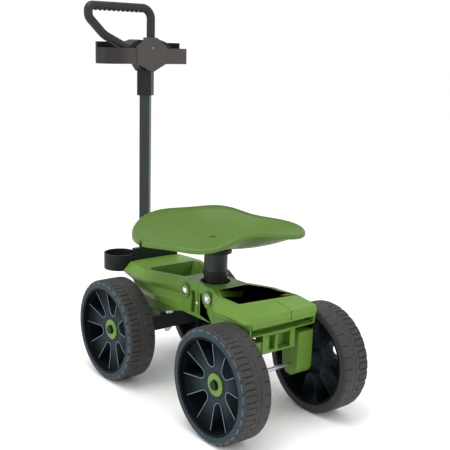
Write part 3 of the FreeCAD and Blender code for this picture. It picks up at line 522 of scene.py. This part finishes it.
class GARDEN_OT_seat(bpy.types.Operator):
    """Build the dished seat with its rolled rim, notch and drain slot"""
    bl_idname = "garden.seat"
    bl_label = "Seat"

    def execute(self, context):
        sizes = context.scene.garden_seat
        columns = 180
        inner = [0.04 + 0.96 * (step / 20) for step in range(20)]
        points = []

        def dish(share, angle):
            rim = sizes.rim + waves(RIM_WAVES, angle)
            return sizes.floor + (rim - sizes.floor) * share ** 2.2

        def row(reach_of, height_of):
            for column in range(columns):
                angle = 360 * column / columns
                reach = reach_of(angle)
                points.append((reach * math.cos(math.radians(angle)),
                               reach * math.sin(math.radians(angle)), height_of(angle, reach)))

        def outline(angle):
            return waves(OUTLINE_WAVES, angle)

        rows = 0
        for share in inner:
            if share > 0.955:
                continue
            row(lambda a, s=share: outline(a) * s, lambda a, r, s=share: dish(s, a))
            rows += 1
        curl = sizes.roundness
        for step in range(0, 9):
            turn = math.radians(8 + 82 * step / 8)
            row(lambda a, t=turn: outline(a) - curl * (1 - math.sin(t)),
                lambda a, r, t=turn: dish(1, a) - curl * (1 - math.cos(t)) - 0.0006)
            rows += 1
        for drop in (0.9, 1.0):
            row(lambda a: outline(a), lambda a, r, d=drop: dish(1, a) - sizes.lip * d + 0.0008)
            rows += 1
        row(lambda a: outline(a) - 0.0009, lambda a, r: dish(1, a) - sizes.lip)
        row(lambda a: outline(a) - 0.0030, lambda a, r: dish(1, a) - sizes.lip)
        row(lambda a: outline(a) - 0.0038, lambda a, r: dish(1, a) - sizes.lip + 0.001)
        row(lambda a: outline(a) - 0.0042, lambda a, r: dish(1, a) - 0.0085)
        rows += 4
        for share in reversed(inner):
            if share > 0.955:
                continue
            row(lambda a, s=share: outline(a) * s, lambda a, r, s=share: dish(s, a) - sizes.wall)
            rows += 1
        faces = ring_faces(rows, columns)
        faces.append(tuple(reversed(range(columns))))
        faces.append(tuple((rows - 1) * columns + column for column in range(columns)))
        mesh = mesh_from("SeatShell", points, faces)
        notch = moved(bar((0.170, -0.008, 0.3), (0.230, 0.008, 0.5)),
                      Matrix.Rotation(math.radians(-156), 4, "Z"))
        hole = moved(lathe("hole", [(0.008, 0.3), (0.008, 0.5)], 24, False),
                     Matrix.Rotation(math.radians(-156), 4, "Z")
                     @ Matrix.Translation((0.170, 0, 0)))
        capped = bmesh.new()
        capped.from_mesh(hole)
        bmesh.ops.holes_fill(capped, edges=capped.edges)
        capped.to_mesh(hole)
        capped.free()
        drain = bar((-0.0185, 0.056, 0.34), (-0.0025, 0.061, 0.42))
        shell = bpy.data.objects.new("seat_blank", mesh)
        context.scene.collection.objects.link(shell)
        cutters = []
        for index, cutter in enumerate((notch, hole, drain)):
            tool = bpy.data.objects.new("seat_cutter_%d" % index, cutter)
            context.scene.collection.objects.link(tool)
            cut = shell.modifiers.new("Cut", "BOOLEAN")
            cut.operation = "DIFFERENCE"
            cut.solver = "EXACT"
            cut.object = tool
            cutters.append(tool)
        context.view_layer.update()
        depsgraph = context.evaluated_depsgraph_get()
        whole = bpy.data.meshes.new_from_object(shell.evaluated_get(depsgraph))
        for tool in cutters + [shell]:
            bpy.data.objects.remove(tool)
        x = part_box("seat_stem")[0].x / 2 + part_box("seat_stem")[1].x / 2
        whole.transform(Matrix.Translation((x, 0, 0)) @ Matrix.Rotation(sizes.turn, 4, "Z"))
        whole.name = "SeatShell"
        set_piece("SeatShell", whole, "seat", ["SeatPlastic"],
                  ["seat_shell"], 38)
        dressed("seat_hub", "SeatHub", "BlackPlastic")
        dressed("seat_spindle", "SeatSpindle", "Steel", 0.0004)
        dressed("spindle_clip", "SpindleClip", "Steel", 0.0003)
        return {"FINISHED"}


# ------------------------------------------------------------------ chassis

PANEL_FACE = 0.0569    # half the width of the waist, where the bolts' rings sit
BOLT_LEVEL = 0.2565    # height of the cross bolts


def boss_ring(x, side, level):
    """A raised ring round a bolt, set on the side panel."""
    mesh = lathe("ring", [(0.0120, 0), (0.0122, 0.0026), (0.0130, 0.0034), (0.0162, 0.0034),
                          (0.0170, 0.0026), (0.0173, 0)], 48)
    turn = Matrix.Rotation(math.radians(90 if side < 0 else -90), 4, "X")
    return moved(mesh, Matrix.Translation((x, side * PANEL_FACE, level)) @ turn)


class GARDEN_OT_chassis(bpy.types.Operator):
    """Dress the two tray mouldings, their bolts and the block between them"""
    bl_idname = "garden.chassis"
    bl_label = "Chassis"

    def execute(self, context):
        dressed("front_tray_moulding", "FrontTray", "GreenPlastic", 0.0018, 3)
        dressed("rear_tray_moulding", "RearTray", "GreenPlastic", 0.0018, 3)
        dressed("stem_base", "StemBase", "BlackPlastic", 0.0008)
        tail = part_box("rear_tray_moulding")[1].x
        seams = [bar((0.199, 0.0165, -0.0003), (0.2540, 0.0175, 0.0003)),
                 bar((tail - 0.0008, 0.0165, 0.2485), (tail + 0.0002, 0.0175, 0.2690))]
        slope = Matrix.Translation((0.198, 0, 0.281)) @ Matrix.Rotation(
            math.atan2(0.013, 0.064), 4, "Y") @ Matrix.Translation((-0.198, 0, 0))
        moved(seams[0], slope)
        set_piece("DeckSeams", merged("DeckSeams", seams), "chassis",
                  ["SeamShade"])
        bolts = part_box("chassis_bolts")
        left, right = bolts[0].x + 0.0095, bolts[1].x - 0.0095
        rings = [boss_ring(x, side, BOLT_LEVEL) for x in (left, right) for side in (-1, 1)]
        set_piece("BossRings", merged("BossRings", rings), "chassis",
                  ["GreenPlastic"])
        for node, name, width in (("chassis_bolts", "ChassisBolts", 0.0003),
                                  ("chassis_washers", "ChassisWashers", 0.0003),
                                  ("chassis_nuts", "ChassisNuts", 0.0006),
                                  ("crossbar_screws", "CrossbarScrews", 0.0003),
                                  ("stem_screws", "PanelScrews", 0.0003),
                                  ("kingpin", "Kingpin", 0.0005),
                                  ("kingpin_nut", "KingpinNut", 0.0006),
                                  ("rear_axle", "RearAxle", 0.0006),
                                  ("rear_axle_spacers", "RearSpacers", 0.0005)):
            dressed(node, name, "Steel", width)
        dressed("front_crossbar", "FrontCrossbar", "BlackPlastic", 0.0015, 3)
        dressed("cup_holder", "CupHolder", "BlackPlastic", 0.0010, 3)
        dressed("rear_axle_caps", "RearAxleCaps", "BlackPlastic", 0.0012, 3)
        return {"FINISHED"}


class GARDEN_OT_stem(bpy.types.Operator):
    """Build the seat stem with its ribbed foot, and the sleeve that slides on it"""
    bl_idname = "garden.stem"
    bl_label = "Stem"

    def execute(self, context):
        dressed("seat_stem", "SeatStem", "BlackPlastic", 0.0008)
        dressed("seat_sleeve", "SeatSleeve", "TubeCoat", 0.0012, 3)
        dressed("sleeve_collar", "SleeveCollar", "BlackPlastic", 0.0012, 3)
        x = (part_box("seat_stem")[0].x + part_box("seat_stem")[1].x) / 2
        ribs = []
        for index in range(12):
            turn = Matrix.Rotation(TAU * index / 12, 4, "Z")
            ribs.append(moved(bar((0.0250, -0.0011, 0.259), (0.0276, 0.0011, 0.2962)),
                              Matrix.Translation((x, 0, 0)) @ turn))
            lean = Matrix.Rotation(math.radians(34 if index % 2 else -34), 4, "X")
            slat = moved(bar((0.0250, -0.0009, -0.014), (0.0271, 0.0009, 0.014)), lean)
            ribs.append(moved(slat, Matrix.Translation((x, 0, 0.280))
                              @ Matrix.Rotation(TAU * (index + 0.5) / 12, 4, "Z")))
        piece = set_piece("StemRibs", merged("StemRibs", ribs), "chassis",
                          ["BlackPlastic"])
        soften(piece, 0.0004)
        return {"FINISHED"}


# ------------------------------------------------------------------ wheels

def tread_depth(across, along, settings, pitch):
    """How far the tread is cut in, across from the outer face and along from a lug's middle."""
    depth = 0.0
    dx = max(abs(along) - (0.0074 - 0.004), 0.0)
    dy = max(across - (0.0330 - 0.004), 0.0)
    outline = abs(math.hypot(dx, dy) - 0.004) if (dx or dy) else 1.0
    if across > 0.006 and outline < 0.0015:
        depth = max(depth, settings.groove * (1 - (outline / 0.0015) ** 2))
    if abs(across - 0.044) < 0.0011:
        depth = max(depth, settings.groove * 0.6)
    if across > 0.055 and abs(along) < 0.0010:
        depth = max(depth, settings.groove * 0.8)
    if 0.001 < across < 0.0085 and abs(along) > pitch / 2 - 0.0040:
        fade = 1 - abs(across - 0.004) / 0.0045
        depth = max(depth, settings.notch * max(0.0, min(1.0, fade * 1.6)))
    return depth


def tread_profile():
    """(across, radius, row kind) from the outer face, over the crown, to the inner face."""
    rows = [(0.0010, 0.1069, 0), (0.0002, 0.1074, 0), (0.0, 0.1082, 0), (0.0, 0.1120, 0),
            (0.0003, 0.1124, 0), (0.0003, 0.1158, 0), (0.0, 0.1162, 0), (0.0, 0.1178, 0),
            (0.0006, 0.1190, 1), (0.0012, 0.1202, 1), (0.0018, 0.1214, 1), (0.0028, 0.1230, 2),
            (0.0038, 0.1244, 2), (0.0052, 0.1256, 2), (0.0070, 0.1265, 2)]
    steps = 42
    for step in range(steps + 1):
        across = 0.0082 + (0.0680 - 0.0082) * step / steps
        bulge = ((across - 0.037) / 0.037) ** 2
        rows.append((across, 0.1270 - 0.0007 * bulge, 2))
    rows += [(0.0700, 0.1260, 2), (0.0720, 0.1246, 2), (0.0734, 0.1225, 2), (0.0740, 0.1200, 0),
             (0.0740, 0.1082, 0), (0.0738, 0.1074, 0), (0.0730, 0.1069, 0)]
    return rows


class GARDEN_OT_wheels(bpy.types.Operator):
    """Build the four wheels: treads with their lugs, centres, window beads and hub rings"""
    bl_idname = "garden.wheels"
    bl_label = "Wheels"

    def execute(self, context):
        settings = context.scene.garden_wheel
        per_lug = 24
        columns = settings.lugs * per_lug
        pitch = TAU * 0.127 / settings.lugs
        profile = tread_profile()
        for end, side in ((-1, -1), (-1, 1), (1, -1), (1, 1)):
            name = "%s_%s" % ("front" if end < 0 else "rear", "left" if side < 0 else "right")
            label = name.title().replace("_", "")
            low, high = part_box(name + "_tyre")
            hub = Vector(((low.x + high.x) / 2, 0, (low.z + high.z) / 2))
            face = low.y if side < 0 else high.y
            points = []
            for across, radius, kind in profile:
                for column in range(columns):
                    angle = TAU * column / columns
                    along = ((column % per_lug) / per_lug - 0.5) * pitch
                    cut = tread_depth(across, along, settings, pitch) if kind == 2 else 0.0
                    reach = radius - cut
                    points.append((hub.x + reach * math.cos(angle), face - side * across,
                                   hub.z + reach * math.sin(angle)))
            rows = len(profile)
            mesh = mesh_from(label + "Tread", points, ring_faces(rows, columns, True))
            marks = []
            for polygon in mesh.polygons:
                centre = polygon.center
                radius = math.hypot(centre.x - hub.x, centre.z - hub.z)
                across = abs(centre.y - face)
                angle = math.atan2(centre.z - hub.z, centre.x - hub.x) % TAU
                along = abs((angle * settings.lugs / TAU) % 1.0 - 0.5)
                # Painted highlight: shoulder faces between the lug notches take the lighter dash
                # colour.
                if across < 0.0022 and 0.1186 < radius < 0.1216 and along < 0.34:
                    marks.append(2)
                # Side faces and inner rim take the bluish flank colour, a painted cool light.
                elif across < 0.0030 or radius < 0.1075:
                    marks.append(1)
                else:
                    marks.append(0)
            set_piece(label + "Tread", mesh, name + "_wheel",
                      ["TreadPlastic", "FlankPaintedCoolLight", "DashPaintedHighlight"], [name + "_tyre"], 50)
            mesh.polygons.foreach_set("material_index", marks)
            shades = context.scene.garden_finish
            # Wheel centre plastic with partly painted light and shade.
            hub_star_with_painted_light(label + "CentrePlasticPaintedLight", tuple(shades.star), tuple(shades.centre), hub)
            dressed(name + "_wheel_centre", label + "Centre", label + "CentrePlasticPaintedLight",
                    0.0007)
            dressed(name + "_hub_ring", label + "HubRing", "GreenPlastic",
                    0.0008, 3)
            dressed(name + "_hub_bush", label + "HubBush", "BlackPlastic",
                    0.0004)
            beads = []
            for window in range(6):
                turn = math.radians(PHASES[name] + 60 * window)
                line = []
                for radius, sideways in window_line():
                    depth = web_depth(math.hypot(radius, sideways)) - 0.0016
                    x = radius * math.cos(turn) - sideways * math.sin(turn)
                    z = radius * math.sin(turn) + sideways * math.cos(turn)
                    line.append(Vector((hub.x + x, face - side * depth,
                                        hub.z + (z if side < 0 else -z))))
                beads.append(bead(line, 0.0010))
            set_piece(label + "Beads", merged(label + "Beads", beads), name + "_wheel",
                      ["BeadPlastic"])
        return {"FINISHED"}


PHASES = {"rear_left": 46, "front_left": 18, "rear_right": 30, "front_right": 5}


def web_depth(radius):
    """Depth of the dished web below the wheel's face."""
    share = (radius - 0.028) / (0.1015 - 0.028)
    return 0.0255 + (0.0140 - 0.0255) * share


def window_line():
    """One window's raised edge: out along one side, round the inner end and back."""
    centre, radius, flare = 0.052, 0.01325, 0.02725
    rim = math.sqrt(0.1005 ** 2 - flare ** 2)
    lean = math.atan2(flare - radius, rim - centre)
    side = (centre - radius * math.sin(lean), radius * math.cos(lean))
    line = [(rim + (side[0] - rim) * step / 8, flare + (side[1] - flare) * step / 8)
            for step in range(9)]
    for step in range(1, 16):
        angle = math.pi / 2 + lean + (math.pi - 2 * lean) * step / 16
        line.append((centre + radius * math.cos(angle), radius * math.sin(angle)))
    line += [(side[0] + (rim - side[0]) * step / 8, -side[1] - (flare - side[1]) * step / 8)
             for step in range(9)]
    return line


def bead(line, radius):
    """A round bead along a line that lies near an upright plane."""
    points = []
    sides = 8
    up = Vector((0, 1, 0))
    for step, point in enumerate(line):
        along = (line[min(step + 1, len(line) - 1)] - line[max(step - 1, 0)]).normalized()
        across = up.cross(along).normalized()
        for side in range(sides):
            angle = TAU * side / sides
            points.append(point + radius * (math.cos(angle) * across + math.sin(angle) * up))
    faces = ring_faces(len(line), sides)
    faces.append(tuple(range(sides)))
    faces.append(tuple(reversed([(len(line) - 1) * sides + side for side in range(sides)])))
    return mesh_from("bead", points, faces)


# ------------------------------------------------------------------ steering and handle

def grip_line():
    """Points along the grip's centre line."""
    corners = [Vector((0, 0.008, 0.832)), Vector((0, 0.008, 0.914)), Vector((0, -0.169, 0.915)),
               Vector((0, -0.169, 0.888)), Vector((0, -0.127, 0.847)),
               Vector((0, -0.076, 0.823)), Vector((0, -0.034, 0.806))]
    radii = [0.026, 0.012, 0.020, 0.060, 0.060]
    line = []
    start = corners[0]
    for index, radius in enumerate(radii):
        corner = corners[index + 1]
        into = (corner - corners[index]).normalized()
        out = (corners[index + 2] - corner).normalized()
        half = into.angle(out) / 2
        back = radius * math.tan(half)
        first, last = corner - into * back, corner + out * back
        centre = corner + (out - into).normalized() * (radius / math.cos(half))
        run = (first - start).length
        steps = max(2, int(run / 0.0012))
        line += [start.lerp(first, step / steps) for step in range(steps)]
        arm_a, arm_b = first - centre, last - centre
        turns = max(4, int(half * 2 / math.radians(6)))
        for step in range(turns):
            line.append(centre + radius * arm_a.slerp(arm_b, step / turns).normalized())
        start = last
    steps = 20
    line += [start.lerp(corners[-1], step / steps) for step in range(steps + 1)]
    return line


class GARDEN_OT_handle(bpy.types.Operator):
    """Build the steering beam, handle tube, tool holder and ribbed grip"""
    bl_idname = "garden.handle"
    bl_label = "Handle"

    def execute(self, context):
        dressed("steering_beam", "SteeringBeam", "BlackPlastic", 0.0012, 3)
        dressed("steering_washer", "SteeringWasher", "Steel", 0.0004)
        dressed("front_axle", "FrontAxle", "Steel", 0.0006)
        dressed("front_axle_spacers", "FrontSpacers", "Steel", 0.0005)
        dressed("front_axle_caps", "FrontAxleCaps", "BlackPlastic", 0.0012, 3)
        dressed("handle_tube", "HandleTube", "TubeCoat", 0.0014, 3)
        dressed("tube_bolts", "TubeBolts", "TubeCoat", 0.0003)
        dressed("handle_socket", "HandleSocket", "BlackPlastic", 0.0016, 3)
        dressed("tool_holder_rear", "ToolHolderRear", "PlatePlasticPaintedShade", 0.0012, 3)
        dressed("tool_holder_front", "ToolHolderFront", "BlackPlastic", 0.0012, 3)
        dressed("tool_holder_screw", "ToolHolderScrew", "DullSteel", 0.0002)
        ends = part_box("handle_grip")
        x = (ends[0].x + ends[1].x) / 2 + 0.0015
        line = [Vector((x, point.y, point.z)) for point in grip_line()]

        def girth(step, angle):
            point = line[step]
            radius = 0.0107
            if point.z > 0.908 and -0.150 < point.y < -0.022:
                wave = 0.5 + 0.5 * math.cos(TAU * (point.y + 0.022) / 0.0128)
                under = max(0.0, math.cos(angle))
                radius += 0.0013 * under * (2 * wave - 1)
            return radius

        shoulders = []
        for side in (-1, 1):
            corners = [(0.030, 0.838), (0.046, 0.833), (0.068, 0.8165), (0.030, 0.8165)]
            points = [(fx, side * y, z) for fx in (-0.3355, -0.2845) for y, z in corners]
            faces = [(0, 1, 2, 3), (7, 6, 5, 4), (0, 4, 5, 1), (1, 5, 6, 2), (2, 6, 7, 3),
                     (3, 7, 4, 0)]
            shoulders.append(mesh_from("shoulder", points, faces))
        piece = set_piece("HolderShoulders", merged("HolderShoulders", shoulders), "steering",
                          ["BlackPlastic"])
        soften(piece, 0.0015, 3)
        grip = swept("HandleGrip", line, 0.0107, 28, girth)
        collar = bar((x - 0.0145, -0.0055, 0.8372), (x + 0.0115, 0.0215, 0.8430))
        piece = set_piece("HandleGrip", merged("HandleGrip", [grip, collar]), "steering",
                          ["GripPlastic"], ["handle_grip"], 45)
        soften(piece, 0.0008, 2, 60)
        return {"FINISHED"}


# ------------------------------------------------------------------ stage

class GARDEN_OT_stage(bpy.types.Operator):
    """Set the pale floor, the soft light and the camera"""
    bl_idname = "garden.stage"
    bl_label = "Stage"

    def execute(self, context):
        scene = context.scene
        settings = scene.garden_stage
        scene.view_settings.view_transform = "Standard"
        floor = bpy.data.objects.new("Floor", mesh_from(
            "Floor", [(-25, -25, 0), (25, -25, 0), (25, 25, 0), (-25, 25, 0)], [(0, 1, 2, 3)]))
        scene.collection.objects.link(floor)
        finish, tree, shader = fresh_finish("PaleFloor")
        drift = noise_node(tree, 1.5, 2.0)
        ramp = ramp_node(tree, drift.outputs["Fac"], [
            (0.3, (0.95, 0.95, 0.95)), (0.7, (0.98, 0.98, 0.98))])
        tree.links.new(ramp.outputs["Color"], shader.inputs["Base Color"])
        shader.inputs["Roughness"].default_value = 0.9
        floor.data.materials.append(finish)

        world = bpy.data.worlds.new("Soft studio")
        world.use_nodes = True
        back = world.node_tree.nodes["Background"]
        back.inputs["Color"].default_value = (1, 1, 1, 1)
        back.inputs["Strength"].default_value = settings.sky
        scene.world = world

        aim = Vector((0, 0, 0.35))
        lights = [("KeyLight", (0.2, -0.7, 2.7), 1.6, settings.key, (1, 0.99, 0.97)),
                  ("FillLight", (2.5, 0.5, 1.5), 1.4, settings.key * 0.30, (1, 0.98, 0.96)),
                  ("SideLight", (0.1, -2.6, 1.1), 1.6, settings.key * 0.42, (0.94, 0.98, 1))]
        for name, place, size, power, tint in lights:
            data = bpy.data.lights.new(name, "AREA")
            data.shape = "DISK"
            data.size = size
            data.energy = power
            data.color = tint
            lamp = bpy.data.objects.new(name, data)
            lamp.location = place
            lamp.rotation_euler = (aim - Vector(place)).to_track_quat("-Z", "Y").to_euler()
            scene.collection.objects.link(lamp)

        eye = Vector((1.53867, -1.18710, 0.83442))
        target = Vector((0.03465, 0.0, 0.42211))
        back_way = (eye - target).normalized()
        level = (-back_way).cross(Vector((0, 0, 1))).normalized()
        rise = level.cross(-back_way).normalized()
        lean = settings.lean
        right = level * math.cos(lean) + rise * math.sin(lean)
        up = rise * math.cos(lean) - level * math.sin(lean)
        data = bpy.data.cameras.new("Camera")
        data.lens = settings.lens
        data.sensor_width = 36
        data.clip_end = 60
        camera = bpy.data.objects.new("Camera", data)
        camera.matrix_world = Matrix((
            (right.x, up.x, back_way.x, eye.x), (right.y, up.y, back_way.y, eye.y),
            (right.z, up.z, back_way.z, eye.z), (0, 0, 0, 1)))
        scene.collection.objects.link(camera)
        scene.camera = camera
        return {"FINISHED"}


# ------------------------------------------------------------------ panel and registration

class GARDEN_PT_looks(bpy.types.Panel):
    """Sidebar panel of the garden seat's pieces"""
    bl_idname = "GARDEN_PT_looks"
    bl_label = "Garden Seat"
    bl_space_type = "VIEW_3D"
    bl_region_type = "UI"
    bl_category = "Garden Seat"

    def draw(self, context):
        scene = context.scene
        for settings, names in (
                (scene.garden_finish, ("green", "seat", "black", "centre", "star", "bead", "tread",
                                       "flank", "plate", "tube", "steel")),
                (scene.garden_seat, ("floor", "rim", "wall", "lip", "roundness", "turn")),
                (scene.garden_wheel, ("lugs", "groove", "notch")),
                (scene.garden_stage, ("lens", "lean", "key", "sky"))):
            column = self.layout.column(align=True)
            for name in names:
                column.prop(settings, name)
        column = self.layout.column(align=True)
        for operator in OPERATORS:
            column.operator(operator.bl_idname)


SETTINGS = (("garden_finish", FinishSettings), ("garden_seat", SeatSettings),
            ("garden_wheel", WheelSettings), ("garden_stage", StageSettings))
OPERATORS = (GARDEN_OT_seat, GARDEN_OT_chassis, GARDEN_OT_stem, GARDEN_OT_wheels,
             GARDEN_OT_handle, GARDEN_OT_stage)


def register():
    for name, group in SETTINGS:
        bpy.utils.register_class(group)
        setattr(bpy.types.Scene, name, bpy.props.PointerProperty(type=group))
    for operator in OPERATORS:
        bpy.utils.register_class(operator)
    bpy.utils.register_class(GARDEN_PT_looks)


def unregister():
    bpy.utils.unregister_class(GARDEN_PT_looks)
    for operator in reversed(OPERATORS):
        bpy.utils.unregister_class(operator)
    for name, group in reversed(SETTINGS):
        delattr(bpy.types.Scene, name)
        bpy.utils.unregister_class(group)


def main():
    """Builds every piece."""
    register()
    bpy.ops.garden.seat()
    bpy.ops.garden.chassis()
    bpy.ops.garden.stem()
    bpy.ops.garden.wheels()
    bpy.ops.garden.handle()
    bpy.ops.garden.stage()


if __name__ == "__main__":
    main()
